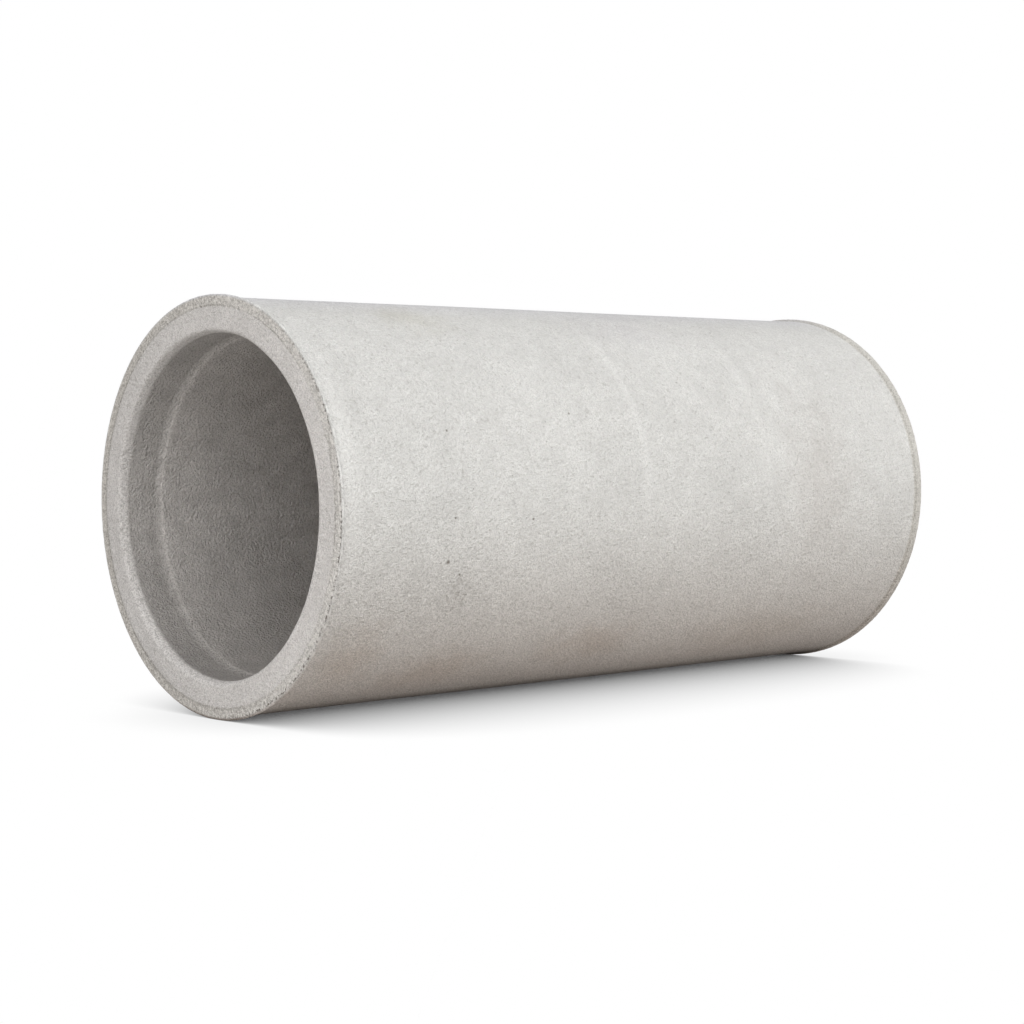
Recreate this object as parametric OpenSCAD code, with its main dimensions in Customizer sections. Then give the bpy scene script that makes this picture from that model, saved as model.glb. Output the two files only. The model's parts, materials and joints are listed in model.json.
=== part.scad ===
// Concrete sewer pipe, cast in one piece, lying on its side with its axis along X.
// The socket end faces -X. The floor is at Z = 0, under the middle of the pipe.
// The wall is one section turned about the pipe's axis.

/* [Barrel] */
// Length over the two end faces
pipe_length = 1540; // [1000:10:2500]
// Inside diameter of the bore
bore_d = 600; // [300:10:1000]
// Thickness of the barrel's wall
wall = 70; // [50:1:120]

/* [Socket end] */
// Step from the bore out to the socket, measured on the radius
socket_step = 7; // [3:1:12]
// Depth of the socket, from the end face to the top of its ramp
socket_depth = 78; // [40:1:150]
// Length of the ramp that leads from the socket down to the bore
ramp_length = 12; // [5:1:40]
// Radius of the rounded mouth of the socket
mouth_round = 11; // [4:1:20]

/* [Far end] */
// Radius of the eased edge where the bore meets the far end face
far_round = 5; // [2:1:15]

/* [Casting rims] */
// Height of both rims over the barrel
rim_height = 5; // [2:1:8]
// Width of the rough band round the socket end face, measured on the radius
band_width = 19; // [14:1:25]
// How far the band lies back from the socket end face
band_setback = 1; // [1:0.5:4]
// Axial length of the flat crest of the socket end's rim
crest_length = 2; // [1:1:8]
// Axial length of the slope behind that crest, down to the barrel
crest_slope = 4; // [4:1:20]
// Axial length of the flat rim at the far end
far_rim_length = 17; // [8:1:30]
// Axial length of the short slope in front of the far rim
far_rim_slope = 4; // [2:1:10]
// Chamfer on the outer edge of the far rim
far_rim_chamfer = 4; // [2:1:8]

/* [Hidden] */
bore_r = bore_d / 2;
barrel_r = bore_r + wall;
rim_r = barrel_r + rim_height;
socket_r = bore_r + socket_step;
face_r = rim_r - band_width;
// The crest's front edge lies as far behind the band as the band lies behind the face
crest_start = 2 * band_setback;
// Sides of a full circle, for the turned wall and its roundings
$fn = 128;

// The waste left outside a quarter circle of radius r, with its sharp corner at the origin
module corner_waste(r) {
  difference() {
    square(r);
    translate([r, r]) circle(r);
  }
}

// Straight outline of the wall: x is the distance from the axis, y the distance from the socket end face
module wall_outline() {
  polygon([
    [socket_r, 0],
    [face_r, 0],
    [face_r + band_setback, band_setback],
    [rim_r - band_setback, band_setback],
    [rim_r, crest_start],
    [rim_r, crest_start + crest_length],
    [barrel_r, crest_start + crest_length + crest_slope],
    [barrel_r, pipe_length - far_rim_length - far_rim_slope],
    [rim_r, pipe_length - far_rim_length],
    [rim_r, pipe_length - far_rim_chamfer],
    [rim_r - far_rim_chamfer, pipe_length],
    [bore_r, pipe_length],
    [bore_r, socket_depth + ramp_length],
    [socket_r, socket_depth],
  ]);
}

// The same wall with its two inner edges rounded
module wall_section() {
  difference() {
    wall_outline();
    translate([socket_r, 0]) corner_waste(mouth_round);
    translate([bore_r, pipe_length]) mirror([0, 1]) corner_waste(far_round);
  }
}

// The whole pipe: the section turned about the axis, laid along X and resting on its rims
module pipe() {
  color("silver")
    translate([-pipe_length / 2, 0, rim_r])
      rotate([0, 90, 0])
        rotate_extrude() wall_section();
}

pipe();
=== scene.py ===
# %% [markdown]
# # A concrete sewer pipe
# A pipe like this is one piece of concrete. It is cast on end between a steel shell and a steel core, and
# stripped while it is still green, so the mould leaves its marks: smooth walls, a crumbly rim where each
# end ring met the shell, and a rougher bore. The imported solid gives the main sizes, and the wall and the
# small sizes of the rims are written here again. This lesson turns the same wall section with those marks
# in it, and then gives it the finish of as-cast concrete.

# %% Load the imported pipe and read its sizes
import json
import math

import bpy
import numpy as np
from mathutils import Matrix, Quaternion, Vector


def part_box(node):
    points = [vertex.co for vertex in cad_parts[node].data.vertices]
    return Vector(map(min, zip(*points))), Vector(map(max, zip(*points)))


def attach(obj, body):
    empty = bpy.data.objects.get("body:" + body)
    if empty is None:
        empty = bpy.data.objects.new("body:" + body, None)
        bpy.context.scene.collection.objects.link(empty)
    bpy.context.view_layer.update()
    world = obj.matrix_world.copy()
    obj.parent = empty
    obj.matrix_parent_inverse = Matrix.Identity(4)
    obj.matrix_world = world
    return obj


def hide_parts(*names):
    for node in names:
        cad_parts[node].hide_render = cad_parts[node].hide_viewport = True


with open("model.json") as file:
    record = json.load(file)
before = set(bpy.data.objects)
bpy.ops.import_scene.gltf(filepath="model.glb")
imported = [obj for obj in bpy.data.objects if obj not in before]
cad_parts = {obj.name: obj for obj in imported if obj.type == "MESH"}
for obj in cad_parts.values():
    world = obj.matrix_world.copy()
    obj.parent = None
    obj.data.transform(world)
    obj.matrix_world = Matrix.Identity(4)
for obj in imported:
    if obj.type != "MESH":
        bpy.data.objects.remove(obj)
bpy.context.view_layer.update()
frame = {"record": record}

MM = 0.001
mounts = {mount["name"]: mount for mount in frame["record"]["mounts"]}
low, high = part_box("pipe")
PIPE_LENGTH = high.x - low.x
RIM_R = (high.z - low.z) / 2
AXIS_Z = low.z + RIM_R
SOCKET_X = low.x
BORE_R = mounts["bore"]["dims"]["r_mm"] * MM
SOCKET_R = mounts["socket"]["dims"]["r_mm"] * MM
print(f"pipe {PIPE_LENGTH:.3f} m long, rims {2 * RIM_R:.3f} m across, bore {2 * BORE_R:.3f} m")

# %% [markdown]
# ## Camera
# The photographer stood a few metres off, low down and to one side of the socket end, with a short
# telephoto lens. A camera can be matched by eye, but the two ends of a pipe are circles, and their
# ellipses fix the view: these values come from fitting both. The place is given in rim radii from the
# middle of the socket end, so it follows the pipe.

# %% Place the camera
CAMERA_SHARES = Vector((-5.588, -8.311, 0.302))
CAMERA_YAW = math.radians(48.018)
CAMERA_PITCH = math.radians(-1.954)
CAMERA_ROLL = math.radians(-0.637)
CAMERA_LENS_MM = 74.33
CAMERA_SENSOR_MM = 36

scene = bpy.context.scene
camera = bpy.data.objects.new("camera", bpy.data.cameras.new("camera"))
scene.collection.objects.link(camera)
scene.camera = camera
camera.data.lens = CAMERA_LENS_MM
camera.data.sensor_width = CAMERA_SENSOR_MM
camera.location = Vector((SOCKET_X, 0, AXIS_Z)) + RIM_R * CAMERA_SHARES
looking = Vector((math.cos(CAMERA_YAW), math.sin(CAMERA_YAW), math.tan(CAMERA_PITCH)))
level = looking.to_track_quat("-Z", "Y")
camera.rotation_euler = (level @ Quaternion((0, 0, 1), CAMERA_ROLL)).to_euler()
print("camera at", [round(x, 3) for x in camera.location])

# %% [markdown]
# ## Wall section
# The mould gives the pipe one section all the way round: the mouth, a flat end face, a rough band set a
# little back from it, a low crest, the long barrel, the far rim, the far face and the bore with its step.
# The mouth is worn to a long curve, a quarter of an ellipse that leads further into the socket than out on
# the face. A section could be drawn with a few points and bevelled, but here it is sampled very finely and
# blurred a little along its length, which eases every corner the way green concrete slumps.

# %% Sizes of the section
WALL = 70 * MM
MOUTH_LEAD = 20 * MM
MOUTH_LIP = 8 * MM
BAND_WIDTH = 19 * MM
BAND_SETBACK = 1 * MM
CREST_LENGTH = 2 * MM
CREST_SLOPE = 4 * MM
FAR_RIM_LENGTH = 17 * MM
FAR_RIM_SLOPE = 4 * MM
FAR_RIM_CHAMFER = 4 * MM


def mount_ends(name):
    """Where a bore mount starts and ends, measured along the pipe from the socket end face."""
    middle = mounts[name]["pos_m"][0] - SOCKET_X
    half = mounts[name]["dims"]["length_mm"] * MM / 2
    return middle - half, middle + half


SOCKET_DEPTH = mount_ends("socket")[1]
BORE_START, BORE_END = mount_ends("bore")
FAR_ROUND = PIPE_LENGTH - BORE_END
BARREL_R = BORE_R + WALL
FACE_R = RIM_R - BAND_WIDTH
CREST_START = 2 * BAND_SETBACK
CREST_END = CREST_START + CREST_LENGTH
FAR_RIM_START = PIPE_LENGTH - FAR_RIM_LENGTH
print(f"socket {SOCKET_DEPTH / MM:.0f} mm deep, barrel {2 * BARREL_R:.3f} m across")

# %% Outline of the wall
ROUND_POINTS = 24


def quarter_round(centre, radius, start):
    """Points of a quarter circle about centre, from the angle start, turning forwards by a right angle."""
    angle = start + np.linspace(0, math.pi / 2, ROUND_POINTS)
    return np.column_stack([centre[0] + radius * np.cos(angle), centre[1] + radius * np.sin(angle)])


def wall_corners():
    """Corners of the section, each as (distance from the socket end face, distance from the axis). The mouth
    is a quarter circle of radius one, stretched to its lead along the pipe and its lip across the face."""
    mouth = quarter_round((0, 0), 1, -math.pi / 2)
    mouth = np.column_stack([MOUTH_LEAD * (1 - mouth[:, 0]), SOCKET_R + MOUTH_LIP * (1 + mouth[:, 1])])
    outside = [
        (0, FACE_R),
        (BAND_SETBACK, FACE_R + BAND_SETBACK),
        (BAND_SETBACK, RIM_R - BAND_SETBACK),
        (CREST_START, RIM_R),
        (CREST_END, RIM_R),
        (CREST_END + CREST_SLOPE, BARREL_R),
        (FAR_RIM_START - FAR_RIM_SLOPE, BARREL_R),
        (FAR_RIM_START, RIM_R),
        (PIPE_LENGTH - FAR_RIM_CHAMFER, RIM_R),
        (PIPE_LENGTH, RIM_R - FAR_RIM_CHAMFER),
    ]
    far_centre = (PIPE_LENGTH - FAR_ROUND, BORE_R + FAR_ROUND)
    far = quarter_round(far_centre, FAR_ROUND, -math.pi / 2)[::-1]
    inside = [(BORE_START, BORE_R), (SOCKET_DEPTH, SOCKET_R), (MOUTH_LEAD, SOCKET_R)]
    return np.vstack([mouth, outside, far, inside])


corners = wall_corners()
corner_run = np.concatenate([[0], np.cumsum(np.linalg.norm(np.diff(corners, axis=0), axis=1))])
whole_run = corner_run[-1]
print(f"section runs {whole_run:.3f} m round the wall")

# %% Ease the corners by blurring the outline along its own length
FINE_STEP = 0.25 * MM
EASE = 0.9 * MM
BELL_REACH = 4


def eased(values, blur):
    """A closed run of values blurred by a bell curve: each is the weighted mean of its neighbours."""
    half = int(BELL_REACH * blur / FINE_STEP)
    bell = np.exp(-0.5 * (np.arange(-half, half + 1) * FINE_STEP / blur) ** 2)
    padded = np.concatenate([values[-half:], values, values[:half]])
    return np.convolve(padded, bell / bell.sum(), mode="valid")


fine_run = np.arange(0, whole_run, FINE_STEP)
fine_along = eased(np.interp(fine_run, corner_run, corners[:, 0]), EASE)
fine_radius = eased(np.interp(fine_run, corner_run, corners[:, 1]), EASE)
print(f"outline sampled at {len(fine_run)} points")

# %% [markdown]
# ## Rows of the mesh
# The crumbs and edges of the real pipe are all near its ends, and between them the walls are plain. An
# even grid would waste its rows on the walls, so here the rows crowd together where the section is busy.
# The spacing wanted at each point grows with its distance from the nearest busy stretch. One over the
# spacing is a density, and equal steps of its running sum give the rows.

# %% Busy stretches of the section


def run_at(along, radius):
    """Distance round the outline at the fine point nearest to that place on the section."""
    return fine_run[np.argmin(np.hypot(fine_along - along, fine_radius - radius))]


mouth_run = (0, run_at(0, SOCKET_R + MOUTH_LIP))
band_run = (run_at(0, FACE_R), run_at(CREST_END + CREST_SLOPE, BARREL_R))
far_run = (
    run_at(FAR_RIM_START - FAR_RIM_SLOPE, BARREL_R),
    run_at(PIPE_LENGTH, RIM_R - FAR_RIM_CHAMFER),
)
far_mouth_run = (run_at(PIPE_LENGTH, BORE_R + FAR_ROUND), run_at(PIPE_LENGTH - FAR_ROUND, BORE_R))
step_run = (run_at(BORE_START, BORE_R), run_at(SOCKET_DEPTH, SOCKET_R))

# Each stretch has its finest spacing. The last is the mouth again, where the outline closes.
BUSY = (
    (mouth_run, 2.4 * MM),
    (band_run, 1.5 * MM),
    (far_run, 2.0 * MM),
    (far_mouth_run, 3.0 * MM),
    (step_run, 2.4 * MM),
    ((whole_run, whole_run), 2.4 * MM),
)
print(f"{len(BUSY)} busy stretches")

# %% Pick the mesh's rows
ROWS = 110
COLUMNS = 900
SPACING_GROWTH = 0.6
WIDEST_SPACING = 80 * MM

spacing = np.full(len(fine_run), WIDEST_SPACING)
for (start, end), finest in BUSY:
    outside_by = np.maximum(start - fine_run, fine_run - end).clip(0)
    spacing = np.minimum(spacing, finest + SPACING_GROWTH * outside_by)
crowding = np.cumsum(FINE_STEP / spacing)
row_run = np.interp(np.arange(ROWS) / ROWS * crowding[-1], crowding, fine_run)
row_along = np.interp(row_run, fine_run, fine_along)[:, None]
row_radius = np.interp(row_run, fine_run, fine_radius)[:, None]
print(f"{ROWS} rows of {COLUMNS}, {crowding[-1] / ROWS:.2f} times the spacing asked for")

# %% Outward direction of each row
tangent = np.column_stack([np.gradient(fine_along), np.gradient(fine_radius)])
tangent /= np.linalg.norm(tangent, axis=1, keepdims=True)
out_along = np.interp(row_run, fine_run, -tangent[:, 1])[:, None]
out_radius = np.interp(row_run, fine_run, tangent[:, 0])[:, None]
print(f"outward along the pipe from {out_along.min():.2f} to {out_along.max():.2f}")

# %% [markdown]
# ## Marks of the mould
# Real concrete is never a clean revolve. Where the end ring met the shell, the paste leaked away: the end
# face stops at a dark groove, and outside it lies a crumbly band with a row of pits in it and chips along
# its crest. The step in the socket is ragged, the mouth has slumped a little at one side, and the walls
# wander by half a millimetre. A sculpted or displaced mesh could show this, but a formula is easier to
# repeat: smooth random heights on a lattice, at the size of the grit, added along the wall's outward
# direction.

# %% Random heights at a chosen grit size
LATTICE = 64


def smooth(share):
    """The smooth step: flat at 0 and at 1, and steepest half way."""
    share = np.clip(share, 0, 1)
    return share * share * (3 - 2 * share)


def grit(points, size, seed):
    """Random heights from -1 to 1, with bumps about one size across: each corner of a cubic lattice has a
    random height, and a point blends those of the eight corners around it by the smooth step."""
    heights = np.random.default_rng(seed).uniform(-1, 1, (LATTICE, LATTICE, LATTICE))
    cell = np.floor(points / size).astype(int)
    share = smooth(points / size - cell)
    total = np.zeros(points.shape[:-1])
    for corner in np.ndindex(2, 2, 2):
        weight = np.where(corner, share, 1 - share).prod(axis=-1)
        x, y, z = np.moveaxis((cell + corner) % LATTICE, -1, 0)
        total += weight * heights[x, y, z]
    return total


# %% Turn the section about the axis
turn = np.arange(COLUMNS) / COLUMNS * 2 * math.pi


def turned(along, radius):
    """Points of the section carried round the axis: the radius swings by sine and cosine of the turn."""
    across = radius * np.sin(turn)
    height = AXIS_Z + radius * np.cos(turn)
    return np.stack([SOCKET_X + np.broadcast_to(along, across.shape), across, height], axis=-1)


clean = turned(row_along, row_radius)
print(f"clean wall of {clean.shape[0] * clean.shape[1]} points")

# %% Where each mark lies along the section
SOFT = 3 * MM
LINE_SOFT = 3.2 * MM
MOUTH_FADE = 8 * MM
GROOVE_INSET = 1.5 * MM
CRUMBS_INSET = 9 * MM
PITS_INSET = 5 * MM
FAR_LINE_INSET = 3 * MM
GROOVE_AT = band_run[0] - GROOVE_INSET
CRUMBS_AT = run_at(BAND_SETBACK, RIM_R - CRUMBS_INSET)
PITS_AT = run_at(BAND_SETBACK, RIM_R - PITS_INSET)
FAR_LINE_AT = far_run[0] + FAR_LINE_INSET


def stretch(start, end, soft):
    """One along the rows from start to end, falling smoothly to nothing over soft on either side."""
    return (smooth((row_run - start) / soft + 1) * smooth((end - row_run) / soft + 1))[:, None]


band = stretch(*band_run, SOFT)
far_band = stretch(*far_run, SOFT)
crest = stretch(run_at(BAND_SETBACK, RIM_R - BAND_SETBACK), run_at(CREST_END, RIM_R), SOFT)
crumb_row = np.maximum(stretch(CRUMBS_AT, CRUMBS_AT + SOFT, SOFT), crest)
groove = stretch(GROOVE_AT, GROOVE_AT, LINE_SOFT)
pit_row = stretch(PITS_AT, PITS_AT, LINE_SOFT)
far_line = stretch(FAR_LINE_AT, FAR_LINE_AT, LINE_SOFT)
step = stretch(*step_run, SOFT)
mouth = stretch(MOUTH_FADE, mouth_run[1], MOUTH_FADE)
print(f"groove at {GROOVE_AT / MM:.0f} mm and pits at {PITS_AT / MM:.0f} mm round the outline")

# %% Where each mark lies round the pipe
# Each lean has its start, and how much it grows to the right and to the top.
PITTED_LEAN = (0.25, 0.9, -0.25)
CRUMBLY_LEAN = (0.2, 0.9, 0.3)
RAGGED_LEAN = (0.2, -0.6, -0.5)
BROKEN_LEAST = 0.3


def leaning(start, to_right, to_top):
    """A share that changes round the pipe, as seen from the socket end: the smooth step of the start, plus
    to_right times how far right a point lies, plus to_top times how far up, each from -1 to 1."""
    return smooth(start - to_right * np.sin(turn) + to_top * np.cos(turn))


pitted_side = leaning(*PITTED_LEAN)
crumbly_side = leaning(*CRUMBLY_LEAN)
ragged_side = leaning(*RAGGED_LEAN)
broken_share = BROKEN_LEAST + (1 - BROKEN_LEAST) * crumbly_side
print(f"pits on {pitted_side.mean():.0%} of the way round, crumbs on {crumbly_side.mean():.0%}")

# %% Scattered marks
# Each has the size of its bumps, the seed of its random heights and the share of their range that it keeps.
CHIPS = (10 * MM, 4, 0.34)
GROOVE_PITS = (7 * MM, 5, 0.5)
ROW_PITS = (7 * MM, 9, 0.45)
CRUMBS = (5 * MM, 10, 0.4)
FAR_PITS = (9 * MM, 12, 0.5)
HIGHLIT_CRUMBS = (7 * MM, 13, 0.5)


def spots(size, seed, share_kept):
    """One in scattered spots about one size across, and nothing between them. The share kept is how much of
    the range of heights counts as a spot."""
    height = grit(clean, size, seed)
    return smooth((height - 1 + 2 * share_kept) / (2 * share_kept))


chips = crest * spots(*CHIPS) * broken_share
groove_pits = groove * spots(*GROOVE_PITS)
row_pits = pit_row * pitted_side * spots(*ROW_PITS)
crumbs = band * spots(*CRUMBS) * broken_share
far_pits = far_line * spots(*FAR_PITS)
# Raised crumbs along the crest, whose paler colour is a painted highlight.
highlit_crumbs = crumb_row * crumbly_side * spots(*HIGHLIT_CRUMBS)
print(f"chips on {(chips > 0.5).sum()} points, crumbs on {(crumbs > 0.5).sum()}")

# %% Rough stretches
# Each has the size of its bumps and the seed of its random heights.
WANDER = (210 * MM, 1)
BAND_COARSE = (6.5 * MM, 2)
BAND_FINE = (3.6 * MM, 3)
STEP_COARSE = (17 * MM, 6)
STEP_FINE = (7 * MM, 7)
MOUTH_WANDER = (45 * MM, 8)
WEAR = (60 * MM, 11)
BAND_FINE_WEIGHT = 0.8
STEP_COARSE_WEIGHT = 0.5
FAR_ROUGH_SHARE = 0.5
WEAR_MIDDLE = 0.6
WEAR_SWING = 0.4

waves = grit(clean, *WANDER)
rough = grit(clean, *BAND_COARSE) + BAND_FINE_WEIGHT * grit(clean, *BAND_FINE)
rough = rough * (band * broken_share + FAR_ROUGH_SHARE * far_band)
ragged = step * (STEP_COARSE_WEIGHT * grit(clean, *STEP_COARSE) + grit(clean, *STEP_FINE))
mouth_waves = mouth * grit(clean, *MOUTH_WANDER)
worn = WEAR_MIDDLE + WEAR_SWING * grit(clean, *WEAR)
print(f"groove worn by {worn.min():.2f} to {worn.max():.2f}")

# %% Slump of the mouth
SLUMP_AT = math.radians(-125)
SLUMP_REACH = math.radians(35)

# A bell curve round the pipe, on the part of the mouth that faces the axis.
turned_by = np.remainder(turn - SLUMP_AT + math.pi, 2 * math.pi) - math.pi
slump = np.exp(-((turned_by / SLUMP_REACH) ** 2)) * (-out_radius).clip(0, 1) * mouth
print(f"slump on {(slump > 0.5).sum()} points")

# %% Heights of the marks
WAVE_DEPTH = 0.5 * MM
BAND_DEPTH = 0.5 * MM
STEP_DEPTH = 0.6 * MM
CRUMB_HEIGHT = 0.8 * MM
SLUMP_HEIGHT = 3.5 * MM
GROOVE_DEPTH = 1.0 * MM
CHIP_DEPTH = 1.0 * MM
PIT_DEPTH = 1.4 * MM

raised = WAVE_DEPTH * (waves + mouth_waves) + BAND_DEPTH * rough + STEP_DEPTH * ragged
raised += CRUMB_HEIGHT * np.maximum(crumbs, highlit_crumbs) + SLUMP_HEIGHT * slump
sunk = GROOVE_DEPTH * (groove * worn + groove_pits + far_pits)
sunk += PIT_DEPTH * row_pits + CHIP_DEPTH * chips
height = raised - sunk
print(f"marks reach from {height.min() / MM:.1f} to {height.max() / MM:.1f} mm")

# %% [markdown]
# ## Mesh of the wall
# The pipe is one closed skin, inside and out. A Screw modifier could sweep it, but the marks differ all the
# way round, so the grid of points is put into a mesh as it is, and its last row and column join the first.
# The wall is also unrolled into a flat map, so that its finish can be baked.

# %% Put the surface into a mesh
points = turned(row_along + out_along * height, row_radius + out_radius * height)
index = np.arange(ROWS * COLUMNS).reshape(ROWS, COLUMNS)
next_row = np.roll(index, -1, axis=0)
next_column = np.roll(index, -1, axis=1)
next_both = np.roll(next_row, -1, axis=1)
quads = np.stack([index, next_row, next_both, next_column], axis=-1).reshape(-1, 4)

mesh = bpy.data.meshes.new("pipe_wall")
mesh.from_pydata(points.reshape(-1, 3), [], quads)
mesh.polygons.foreach_set("use_smooth", np.ones(len(quads), bool))

# A sixth of the sum, over all faces, of the middle times the cross of the diagonals is the volume.
corner_points = points.reshape(-1, 3)[quads]
cross = np.cross(corner_points[:, 2] - corner_points[:, 0], corner_points[:, 3] - corner_points[:, 1])
volume = float((corner_points.mean(axis=1) * cross).sum() / 6)
print(f"{len(quads)} faces hold {volume:.4f} cubic metres")

# %% Unroll the wall into a flat map
run_shares = np.append(row_run / whole_run, 1)
turn_shares = np.arange(COLUMNS + 1) / COLUMNS
run_share, turn_share = np.meshgrid(run_shares, turn_shares, indexing="ij")
flat = np.stack([turn_share, run_share], axis=-1)
flat_corners = np.stack([flat[:-1, :-1], flat[1:, :-1], flat[1:, 1:], flat[:-1, 1:]], axis=2)
flat_map = mesh.uv_layers.new(name="OFBake")
flat_map.data.foreach_set("uv", flat_corners.astype(np.float32).ravel())
print(f"flat map of {flat_corners.shape[0]} by {flat_corners.shape[1]} faces")

# %% [markdown]
# ## Shares that the finish reads
# The finish changes from place to place: the bore is darker than the end face, which is painted shade, and
# pits sit only round the rim. Each wall could have a material of its own, but their borders would be hard
# and the marks would not meet. So each point of the mesh keeps a few shares from 0 to 1, and the one
# material blends by them.

# %% Keep the walls
KEPT = ("inside", "socket", "end_face", "band", "rough", "far_band", "thin_line", "pit_line", "pale")
RAGGED_MOUTH_SHARE = 0.6


def keep(name, share):
    """Stores one share for each point of the mesh."""
    values = np.broadcast_to(share, (ROWS, COLUMNS)).astype(np.float32).ravel()
    mesh.attributes.new(name, "FLOAT", "POINT").data.foreach_set("value", values)


mouth_side = stretch(0, 0, MOUTH_FADE)
near_face = stretch(0, band_run[0], SOFT) * (1 - mouth_side)
far_face = stretch(far_run[1], far_mouth_run[0], SOFT)
rough_band = stretch(band_run[0], PITS_AT, SOFT)
# The inner part of the mouth counts as inside and socket too, so it takes their painted shade.
keep("inside", np.maximum(stretch(far_mouth_run[1], whole_run, MOUTH_FADE), mouth_side))
keep("socket", np.maximum(stretch(sum(step_run) / 2, whole_run, SOFT), mouth_side))
keep("end_face", np.maximum(near_face, far_face))
keep("band", rough_band)
keep("rough", np.maximum(rough_band, RAGGED_MOUTH_SHARE * mouth * ragged_side))
keep("far_band", far_band)
print(f"end face on {(near_face > 0.5).sum()} and rough band on {(rough_band > 0.5).sum()} of {ROWS} rows")

# %% Keep the dark lines, and the crumbs paled as a painted highlight
GROOVE_SHADE = 0.95
GROOVE_FADE_AT_PITS = 0.35
FAR_LINE_SHADE = 0.8
FAR_LINE_FADE_AT_TOP = 0.45
PIT_SHADE = 0.85
PIT_FADE_AT_TOP = 0.2
BAND_PIT_SHADE = 0.28
BAND_PIT_FADE_AT_CRUMBS = 0.2

groove_shade = GROOVE_SHADE - GROOVE_FADE_AT_PITS * pitted_side
far_shade = FAR_LINE_SHADE - FAR_LINE_FADE_AT_TOP * np.cos(turn).clip(0, 1)
pit_shade = PIT_SHADE - PIT_FADE_AT_TOP * np.cos(turn)
band_pit_shade = BAND_PIT_SHADE - BAND_PIT_FADE_AT_CRUMBS * crumbly_side
keep("thin_line", (groove_shade * groove * worn + far_shade * far_line * worn).clip(0, 1))
keep("pit_line", np.maximum(pit_shade * pit_row * pitted_side, band_pit_shade * rough_band))
# the crest's crumbs, kept to be painted paler as a highlight
keep("pale", highlit_crumbs)
mesh.update()
print(f"pale crumbs on {(highlit_crumbs > 0.5).sum()} points")

# %% Hand the wall over as the pipe
pipe = bpy.data.objects.new("pipe_wall", mesh)
scene.collection.objects.link(pipe)
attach(pipe, "root")
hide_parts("pipe")
print(f"{pipe.name} stands in for the packed pipe")

# %% [markdown]
# ## As-cast concrete
# Cement paste dries to a pale grey and is quite matt. What the eye sees in it is fine sand, soft clouds
# where the paste was richer or wetter, faint rings from the mould, a few pinholes, and brown dust low
# down. A photograph wrapped round the wall would repeat and shine wrongly, so every mark here is a noise
# or a distance at a size in millimetres. Most add to a single tone, which picks the colour. Stains and
# dust then tint it, and so do painted shades and a painted reflection of the sky.

# %% Helpers for colours and nodes


def linear(hex_colour):
    """A colour written as sRGB hex, as the linear numbers that a shader takes."""
    srgb = np.array([int(hex_colour[i:i + 2], 16) / 255 for i in (1, 3, 5)])
    return (*np.where(srgb <= 0.04045, srgb / 12.92, ((srgb + 0.055) / 1.055) ** 2.4), 1.0)


def add(tree, kind, inputs=(), **settings):
    """Adds a node of that kind with its settings, and returns its outputs. The inputs are a list in the
    order of the node's sockets, or a dictionary by name or number. Each is a value or another's output."""
    node = tree.nodes.new(kind)
    for name, value in settings.items():
        setattr(node, name, value)
    for name, value in inputs.items() if isinstance(inputs, dict) else enumerate(inputs):
        if isinstance(value, bpy.types.NodeSocket):
            tree.links.new(value, node.inputs[name])
        else:
            node.inputs[name].default_value = value
    return node.outputs


# %% Sand, gravel, patches and clouds
# Each has a size, and the number of finer layers in its noise. Real sand is finer than this, and is drawn
# as coarse as it needs to show.
SAND = (2.7 * MM, 1.0)
GRAVEL = (6 * MM, 1.0)
PATCH = (42 * MM, 3.0)
CLOUD = (210 * MM, 2.0)

concrete = bpy.data.materials.new("as_cast_concrete")
concrete.use_nodes = True
tree = concrete.node_tree
tree.nodes.clear()
place = add(tree, "ShaderNodeTexCoord")["Object"]
sand, gravel, patch, cloud = (
    add(tree, "ShaderNodeTexNoise", {"Vector": place, "Scale": 1 / size, "Detail": detail})["Fac"]
    for size, detail in (SAND, GRAVEL, PATCH, CLOUD)
)
print(f"sand of {SAND[0] / MM:.1f} mm in clouds of {CLOUD[0] / MM:.0f} mm")

# %% [markdown]
# ## Place on the pipe
# Dust lies low and a ring sits at one distance from the end, so the finish has to know where it is. A flat
# map could say so, but two plain numbers are easier to read: the distance along the pipe, and the slope,
# which is the angle round the axis from the front, up over the top, to the back. The steepness is the same
# angle counted alike from the front and from the back. The shares kept on the mesh say which wall it is,
# and what is left over is the outer wall.

# %% Place on the pipe
from_end = add(tree, "ShaderNodeVectorMath", [place, (SOCKET_X, 0, AXIS_Z)], operation="SUBTRACT")[0]
along, across, above = add(tree, "ShaderNodeSeparateXYZ", [from_end])
front = add(tree, "ShaderNodeMath", [across, -1.0], operation="MULTIPLY")[0]
slope = add(tree, "ShaderNodeMath", [above, front], operation="ARCTAN2")[0]
aside = add(tree, "ShaderNodeMath", [across], operation="ABSOLUTE")[0]
steepness = add(tree, "ShaderNodeMath", [above, aside], operation="ARCTAN2")[0]
inside, socket, end_face, band_share, rough_share, far_band_share, thin_line, pit_line, crumb_highlight = (
    add(tree, "ShaderNodeAttribute", attribute_name=name)["Fac"] for name in KEPT
)


def weighted_sum(start, terms):
    """The start plus each term's value times its weight."""
    total = start
    for value, weight in terms:
        total = add(tree, "ShaderNodeMath", [value, weight, total], operation="MULTIPLY_ADD")[0]
    return total


outer = weighted_sum(1.0, [(share, -1.0) for share in (inside, end_face, band_share)])
outer = add(tree, "ShaderNodeMath", [outer, 0.0], operation="MAXIMUM")[0]
print(f"{len(KEPT)} shares read back from the mesh")
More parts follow.
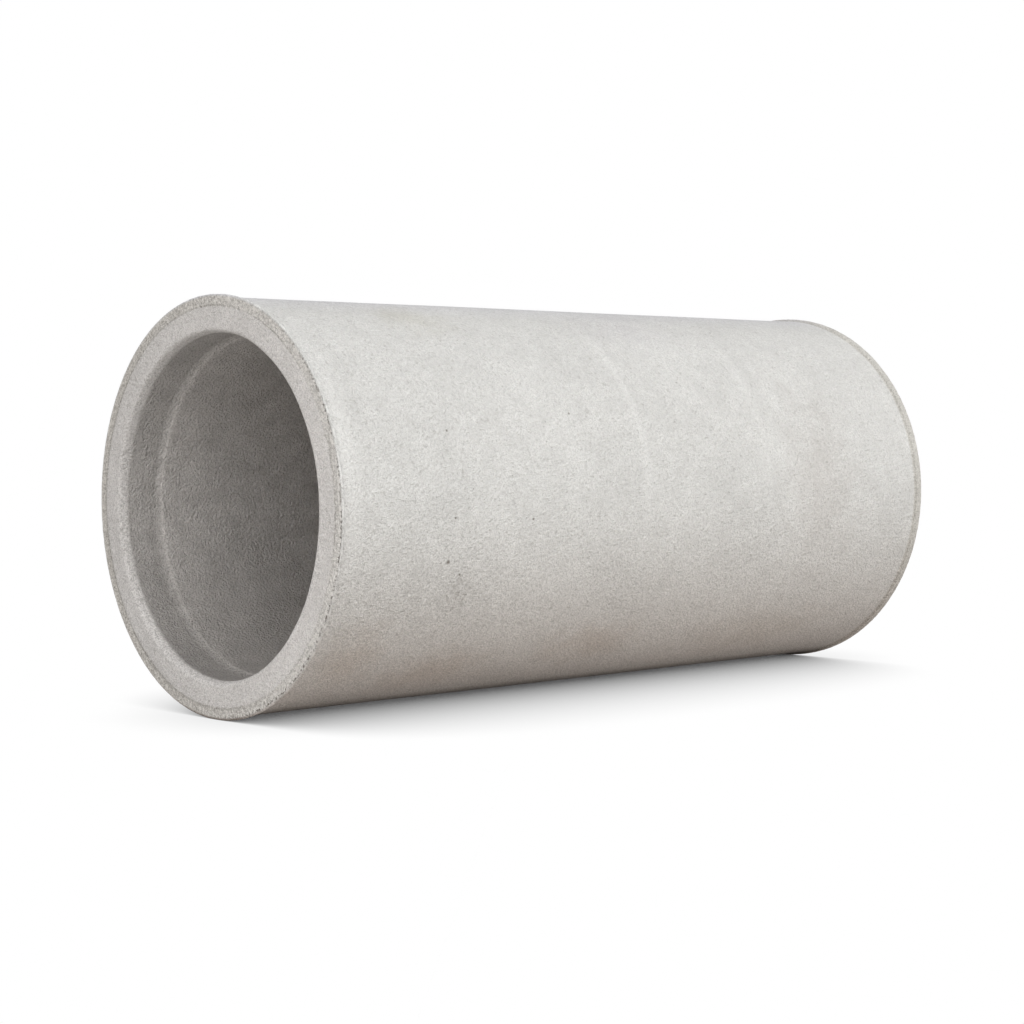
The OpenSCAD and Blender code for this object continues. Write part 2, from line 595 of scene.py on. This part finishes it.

# %% [markdown]
# ## Dust and painted light
# The lower half of the barrel is tinted brown, partly for dust and partly as painted shade with warm light
# bounced from the ground. Its foot, where it turns under towards the floor, is darkened as painted shade,
# and its top is made a little paler and cooler as a painted reflection of the sky. The end face and rim are
# painted darker on the side away from the light, and the bottom of the bore, the invert, is made darker.
# These could be painted by hand, but each only follows height or side, so each is a range of the place on
# the pipe, kept to the walls where it belongs.

# %% Dust with painted shade, painted shade at the foot and on one side, painted sky on top, and invert
# Brown dust on the lower half, tinted together with a painted shade and warm bounced light.
DUST_AND_SHADE_RANGE = (math.radians(10), math.radians(-70))
# Painted shade at the foot, where the barrel turns under towards the floor.
UNDERSIDE_SHADE_RANGE = (math.radians(-68), math.radians(-80))
# A painted reflection of the sky on top: a little paler and cooler.
SKY_SHEEN_RANGE = (math.radians(66), math.radians(82))
# Painted shade across the end face and band, darker on the side away from the light.
SHADED_SIDE_RANGE = (-RIM_R, RIM_R)
INVERT_TOP_SHARE = 0.3
INVERT_RANGE = (INVERT_TOP_SHARE * BORE_R, -BORE_R)


def within(value, limits, wall, easing="SMOOTHSTEP"):
    """How far a value has gone from the first limit to the second, from 0 to 1, times a wall's share."""
    share = add(tree, "ShaderNodeMapRange", [value, *limits], interpolation_type=easing)[0]
    return add(tree, "ShaderNodeMath", [share, wall], operation="MULTIPLY")[0]


dust_and_low_shade = within(steepness, DUST_AND_SHADE_RANGE, outer)
underside_shade = within(steepness, UNDERSIDE_SHADE_RANGE, outer, easing="LINEAR")
sky_sheen = within(steepness, SKY_SHEEN_RANGE, outer, easing="LINEAR")
shaded_side = within(across, SHADED_SIDE_RANGE, end_face)
shaded_band_side = within(across, SHADED_SIDE_RANGE, band_share)
invert = within(above, INVERT_RANGE, inside)
print(f"dust starts {math.degrees(DUST_AND_SHADE_RANGE[0]):.0f} degrees above the level")

# %% [markdown]
# ## Tone
# The grain of the real wall is fine on the barrel and coarser where paste leaked out or dust stuck. A
# separate texture for each wall would need seams, so one tone is summed from all the noises. The sand
# counts for more where the wall is coarse, and the gravel stands out on the crumbly rim.

# %% Tone of the grain
# A range turns values between its first two numbers into values between its last two.
NOISE_MIDDLE = 0.5
COARSE_RANGE = (0.35, 0.65, 0.8, 1.7)
TONE_DROP = 0.18

speckle, lumps, mottle = (
    add(tree, "ShaderNodeMath", [noise, NOISE_MIDDLE], operation="SUBTRACT")[0]
    for noise in (sand, gravel, patch)
)
coarse = add(tree, "ShaderNodeMapRange", [patch, *COARSE_RANGE])[0]
coarse = weighted_sum(
    coarse,
    (
        (end_face, 0.6),
        (shaded_side, 0.7),
        (rough_share, 1.3),
        (far_band_share, 1.0),
        (dust_and_low_shade, 3.2),
        (inside, 0.9),
    ),
)
tone, lumps, mottle = (
    add(tree, "ShaderNodeMath", [noise, share], operation="MULTIPLY")[0]
    for noise, share in ((speckle, coarse), (lumps, rough_share), (mottle, inside))
)
tone = weighted_sum(
    tone,
    (
        (gravel, 0.65),
        (patch, 0.4),
        (cloud, 0.4),
        (lumps, 1.6),
        (mottle, 0.8),
        # the crest's crumbs made paler: a painted highlight
        (crumb_highlight, 1.5),
        # the top made paler as a painted reflection of the sky
        (sky_sheen, 0.1),
    ),
)
tone = add(tree, "ShaderNodeMath", [tone, TONE_DROP], operation="SUBTRACT")[0]

# %% [markdown]
# ## Rings and stains
# The shell of the mould left faint pale rings, and water left faint stains. They could be drawn on a
# picture of the unrolled wall. Here each is a soft mound at a place on the barrel, with an edge that the
# noise frays. A ring is short along the pipe and long round it, and changes the tone. A stain is a tint.

# %% Rings that the mould left
# Each has its place and half length in mm, its slope and half slope in degrees, and its strength.
RINGS = (
    (719, 17, 26, 58, 0.2),
    (1056, 18, 34, 48, 0.12),
    (24, 30, 12, 48, 0.25),
    (190, 70, 9, 12, 0.12),
    (72, 24, 42, 40, -0.08),
)
PASTE_DARK = "#CBC7C4"
PASTE_PALE = "#F7F3F0"
MOUND_FRAY = 1.2
MOUND_RANGE = (0.5, 1.7, 1.0, 0.0)


def mound(along_at, half_length, slope_at, half_slope):
    """One near a place on the barrel and nothing away from it. The distance from the place is measured in
    half lengths along the pipe and half slopes round it, and the patch noise frays its edge."""
    u = add(tree, "ShaderNodeMath", [along, along_at * MM], operation="SUBTRACT")[0]
    u = add(tree, "ShaderNodeMath", [u, half_length * MM], operation="DIVIDE")[0]
    v = add(tree, "ShaderNodeMath", [slope, math.radians(slope_at)], operation="SUBTRACT")[0]
    v = add(tree, "ShaderNodeMath", [v, math.radians(half_slope)], operation="DIVIDE")[0]
    both = add(tree, "ShaderNodeCombineXYZ", [u, v])[0]
    far = add(tree, "ShaderNodeVectorMath", [both], operation="LENGTH")["Value"]
    far = weighted_sum(far, [(patch, MOUND_FRAY)])
    near = add(tree, "ShaderNodeMapRange", [far, *MOUND_RANGE], interpolation_type="SMOOTHSTEP")[0]
    return add(tree, "ShaderNodeMath", [near, outer], operation="MULTIPLY")[0]


tone = weighted_sum(tone, [(mound(*ring), strength) for *ring, strength in RINGS])
paste = {0: tone, 6: linear(PASTE_DARK), 7: linear(PASTE_PALE)}
colour = add(tree, "ShaderNodeMix", paste, data_type="RGBA")[2]
print(f"{len(RINGS)} rings and pale patches")

# %% Stains, and the tint of each wall, with painted shade and a painted sky among them
# Each stain has its place and half length in mm, its slope and half slope in degrees, and its tint.
STAINS = (
    (320, 110, 65, 14, "#F8F7F3"),
    (845, 180, 63, 18, "#F9F8FA"),
    (1220, 150, 4, 40, "#F8F6F5"),
    (95, 85, -44, 18, "#F6F1ED"),
    (315, 170, -54, 14, "#F6F1ED"),
    (675, 160, -47, 12, "#F6F1ED"),
    (1150, 260, -50, 16, "#F8F5F2"),
)
WALL_TINTS = (
    (outer, "#F1F4F4"),
    # painted reflection of the sky: the top made cooler
    (sky_sheen, "#FAFAFF"),
    # brown dust, together with painted shade low down
    (dust_and_low_shade, "#E6DEDA"),
    # painted shade at the foot of the barrel
    (underside_shade, "#B9B3AD"),
    # painted shade on the end face's side away from the light
    (shaded_side, "#EBEBEB"),
    # painted shade in the bore
    (inside, "#E9E8E7"),
    # painted shade in the socket
    (socket, "#E9E9E9"),
    (invert, "#DAD9D8"),
    (band_share, "#F9F9F7"),
    # painted shade on the band's side away from the light
    (shaded_band_side, "#EBEAE8"),
    (far_band_share, "#F0EEEA"),
)
tints = [(mound(*stain), tint) for *stain, tint in STAINS]
for share, tint in (*tints, *WALL_TINTS):
    stained = {0: share, 6: colour, 7: linear(tint)}
    colour = add(tree, "ShaderNodeMix", stained, data_type="RGBA", blend_type="MULTIPLY")[2]
print(f"{len(STAINS)} stains and {len(WALL_TINTS)} wall tints")

# %% [markdown]
# ## Pits and pinholes
# Air trapped against the mould leaves pinholes of a few millimetres, and the leaking paste leaves dark
# pits in a line round the rim. The deep ones are already in the mesh. The rest could be modelled too, but
# they are too many and too small, so they are dark dots that the relief also sinks a little. A few
# pinholes that catch the eye have places of their own, and the others are scattered.

# %% Lines of pits
DOT = 5 * MM
FLECK = 8 * MM
LINE_RANGE = (0.44, 0.62, 0.3, 1.0)
DEEP_RANGE = (0.52, 0.6, 0.0, 1.0)
FLECKED_RANGE = (0.52, 0.68, 0.0, 0.4)
SPECK_RANGE = (0.6, 0.76, 0.0, 0.2)
FLECKED_PLACE = (275, 60, -25, 9)

dots, flecks = (
    add(tree, "ShaderNodeTexNoise", {"Vector": place, "Scale": 1 / size, "Detail": 1.0})["Fac"]
    for size in (DOT, FLECK)
)
line = add(tree, "ShaderNodeMapRange", [dots, *LINE_RANGE])[0]
deep = add(tree, "ShaderNodeMapRange", [dots, *DEEP_RANGE])[0]
flecked = add(tree, "ShaderNodeMapRange", [flecks, *FLECKED_RANGE])[0]
specks = add(tree, "ShaderNodeMapRange", [flecks, *SPECK_RANGE])[0]
line, deep, flecked = (
    add(tree, "ShaderNodeMath", [marks, share], operation="MULTIPLY")[0]
    for marks, share in ((line, thin_line), (deep, pit_line), (flecked, mound(*FLECKED_PLACE)))
)

# %% Pinholes
# Each has its place along the pipe in mm, its slope in degrees and its radius in mm. Of the scattered
# ones, every second cell has one, with a radius of up to the last share of the spacing.
PINHOLES = (
    (239, -14.9, 5.2),
    (249, 20.6, 2.8),
    (247, -3, 2.6),
    (428, -4.2, 2.8),
    (270, -18.6, 2.8),
    (550, 25.6, 2.8),
)
PINHOLE_SHADE = 0.8
PINHOLE_CORE_SHARE = 1 / 3
SCATTER_SPACING = 34 * MM
SCATTER_RANGE = (0.5, 1.0, 0.0, 0.062)
SCATTER_SHADE = 0.4
PIT_COLOUR = "#6F675C"

cells = add(tree, "ShaderNodeTexVoronoi", {"Vector": place, "Scale": 1 / SCATTER_SPACING})
chance = add(tree, "ShaderNodeSeparateXYZ", [cells["Color"]])["X"]
width = add(tree, "ShaderNodeMapRange", [chance, *SCATTER_RANGE])[0]
scattered = add(tree, "ShaderNodeMath", [cells["Distance"], width], operation="LESS_THAN")[0]
scattered = add(tree, "ShaderNodeMath", [scattered, SCATTER_SHADE], operation="MULTIPLY")[0]
holes = [scattered, deep, specks, flecked]
for hole_at, slope_at, radius in PINHOLES:
    angle = math.radians(slope_at)
    spot = (SOCKET_X + hole_at * MM, -BARREL_R * math.cos(angle), AXIS_Z + BARREL_R * math.sin(angle))
    off = add(tree, "ShaderNodeVectorMath", [place, spot], operation="DISTANCE")["Value"]
    fall = (radius * PINHOLE_CORE_SHARE * MM, radius * MM, PINHOLE_SHADE, 0.0)
    holes += [add(tree, "ShaderNodeMapRange", [off, *fall])[0]]
pits = line
for hole in holes:
    pits = add(tree, "ShaderNodeMath", [pits, hole], operation="MAXIMUM")[0]
pitted = {0: pits, 6: colour, 7: linear(PIT_COLOUR)}
colour = add(tree, "ShaderNodeMix", pitted, data_type="RGBA")[2]
print(f"{len(PINHOLES)} pinholes with places of their own")

# %% [markdown]
# ## Relief and shader
# The sand stands proud by a fraction of a millimetre, and the bore has a coarser skin, like orange peel,
# where the core was drawn out. Geometry that fine would be millions of faces, so a bump map bends the
# shading instead. Cement paste is a matt mineral: roughness 0.9, with an IOR of 1.5.

# %% Relief and shader
PEEL = 4.5 * MM
PEEL_WEIGHT = 0.48
RELIEF = 8 * MM
ROUGHNESS = 0.9
PASTE_IOR = 1.5

peel = add(tree, "ShaderNodeTexNoise", {"Vector": place, "Scale": 1 / PEEL, "Detail": 1.0})["Fac"]
peel = add(tree, "ShaderNodeMath", [peel, inside], operation="MULTIPLY")[0]
relief = add(tree, "ShaderNodeMath", [peel, PEEL_WEIGHT], operation="MULTIPLY")[0]
relief = weighted_sum(relief, ((sand, 0.35), (gravel, 0.35), (pits, -0.3)))
bump = add(tree, "ShaderNodeBump", {"Height": relief, "Distance": RELIEF, "Strength": 1.0})[0]
skin = {"Base Color": colour, "Roughness": ROUGHNESS, "IOR": PASTE_IOR, "Normal": bump}
surface = add(tree, "ShaderNodeBsdfPrincipled", skin)[0]
add(tree, "ShaderNodeOutputMaterial", {"Surface": surface})
mesh.materials.append(concrete)
print(f"{concrete.name} has {len(tree.nodes)} nodes")

# %% [markdown]
# ## Floor
# The pipe lies on white paper, which shows plain white in the photograph, with a soft grey shade close to
# the pipe. Lighting real paper to white would burn out the concrete. So the paper glows white where it is
# looked at, dimmed by how much of the sky each point sees, raised to a power that sets how the shade falls
# off. To the light that bounces off it, it is a plain pale grey.

# %% Floor
FLOOR_SIZE = 40.0
FLOOR_BOUNCE = "#D2CFCB"
SKY_REACH = 1.3
SKY_SAMPLES = 48
SHADOW_POWER = 0.48
SHADE_GAIN = 1.18


def seen_directly(tree):
    """One for what the camera sees, straight or through a mirror or glass, and nothing for bounced light."""
    rays = add(tree, "ShaderNodeLightPath")
    direct = [rays["Is Camera Ray"], rays["Is Glossy Ray"]]
    direct = add(tree, "ShaderNodeMath", direct, operation="MAXIMUM")[0]
    return add(tree, "ShaderNodeMath", [direct, rays["Is Transmission Ray"]], operation="MAXIMUM")[0]


floor_mesh = bpy.data.meshes.new("floor")
edge = FLOOR_SIZE / 2
square = [(-edge, -edge, 0), (edge, -edge, 0), (edge, edge, 0), (-edge, edge, 0)]
floor_mesh.from_pydata(square, [], [(0, 1, 2, 3)])
floor = bpy.data.objects.new("floor", floor_mesh)
scene.collection.objects.link(floor)
print(f"floor {FLOOR_SIZE:.0f} m square")

# %% White paper
paper = bpy.data.materials.new("white_paper")
paper.use_nodes = True
tree = paper.node_tree
tree.nodes.clear()
open_sky = add(tree, "ShaderNodeAmbientOcclusion", {"Distance": SKY_REACH}, samples=SKY_SAMPLES)["AO"]
shade = add(tree, "ShaderNodeMath", [open_sky, SHADOW_POWER], operation="POWER")[0]
shade = add(tree, "ShaderNodeMath", [shade, SHADE_GAIN], operation="MULTIPLY", use_clamp=True)[0]
white = add(tree, "ShaderNodeEmission", {"Color": (1, 1, 1, 1), "Strength": shade})[0]
plain = add(tree, "ShaderNodeBsdfDiffuse", {"Color": linear(FLOOR_BOUNCE)})[0]
both = add(tree, "ShaderNodeMixShader", [seen_directly(tree), plain, white])[0]
add(tree, "ShaderNodeOutputMaterial", {"Surface": both})
floor_mesh.materials.append(paper)
print(f"{paper.name} has {len(tree.nodes)} nodes")

# %% [markdown]
# ## Light
# A studio hangs large soft boxes in front of the object. Area lamps could stand for them, but a dome of
# light has no edges to show. It is dim all round, with two wide glows: one high in front, which lights the
# barrel and leaves its underside in shade, and one beyond the socket end, which lights the end face. Each
# glow is how nearly a direction faces its middle, from 0 to 1, raised to a power that narrows it.

# %% Dome of light
# Each glow has its direction, the power that narrows it and its strength.
DOME_DIM = 0.27
GLOWS = (
    (Vector((0, -0.88, 0.48)), 6.0, 1.75),
    (Vector((-0.9, -0.4, 0.15)), 6.0, 1.06),
)
FACING_RANGE = (-1.0, 1.0, 0.0, 1.0)

world = bpy.data.worlds.new("studio")
scene.world = world
world.use_nodes = True
tree = world.node_tree
tree.nodes.clear()
towards = add(tree, "ShaderNodeTexCoord")["Generated"]
glow = DOME_DIM
for direction, focus, strength in GLOWS:
    middle = direction.normalized()
    facing = add(tree, "ShaderNodeVectorMath", [towards, middle], operation="DOT_PRODUCT")["Value"]
    share = add(tree, "ShaderNodeMapRange", [facing, *FACING_RANGE])[0]
    share = add(tree, "ShaderNodeMath", [share, focus], operation="POWER")[0]
    glow = add(tree, "ShaderNodeMath", [share, strength, glow], operation="MULTIPLY_ADD")[0]
glow = add(tree, "ShaderNodeMapRange", {0: seen_directly(tree), 3: glow, 4: 1.0})[0]
background = add(tree, "ShaderNodeBackground", {"Color": (1, 1, 1, 1), "Strength": glow})[0]
add(tree, "ShaderNodeOutputWorld", {"Surface": background})
scene.view_settings.view_transform = "Standard"
print(f"dome of {DOME_DIM} with {len(GLOWS)} glows")
